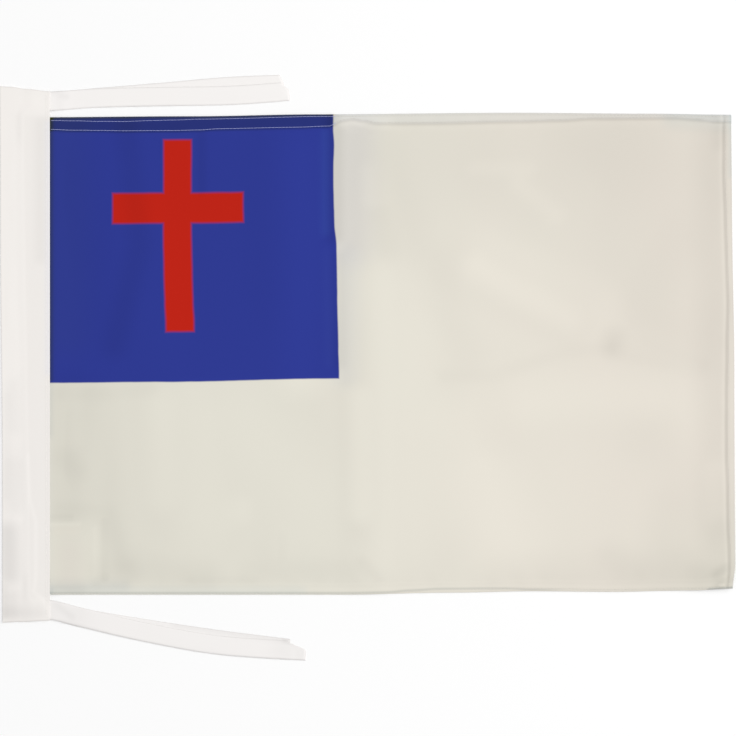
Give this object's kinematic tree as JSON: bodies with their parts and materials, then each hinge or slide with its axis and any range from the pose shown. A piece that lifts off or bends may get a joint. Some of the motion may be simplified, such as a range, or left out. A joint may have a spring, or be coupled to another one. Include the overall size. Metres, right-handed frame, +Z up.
{
  "type": "christian flag",
  "caption": "Small flag lying face up: cream cloth with a blue canton and a red Latin cross, a white heading tape at the hoist and a tie tape at each of its ends.",
  "frame": {"origin": "under the middle of the whole outline, on the surface that the flag lies on", "axes": "+X from the heading to the fly, +Y from the bottom edge to the top edge, +Z up out of the printed face"},
  "size_m": [0.4622, 0.3684, 0.0049],
  "materials": {
    "printed_polyester": "thin plain-woven polyester, printed blue and red in the canton",
    "heading_tape": "white woven tape",
    "tie_tape": "white satin-faced tape",
    "patch_cloth": "bare white label cloth"
  },
  "bodies": {
    "root": {"field": "printed_polyester", "heading": "heading_tape", "upper_tie": "tie_tape", "lower_tie": "tie_tape", "back_patch": "patch_cloth"}
  },
  "joints": []
}
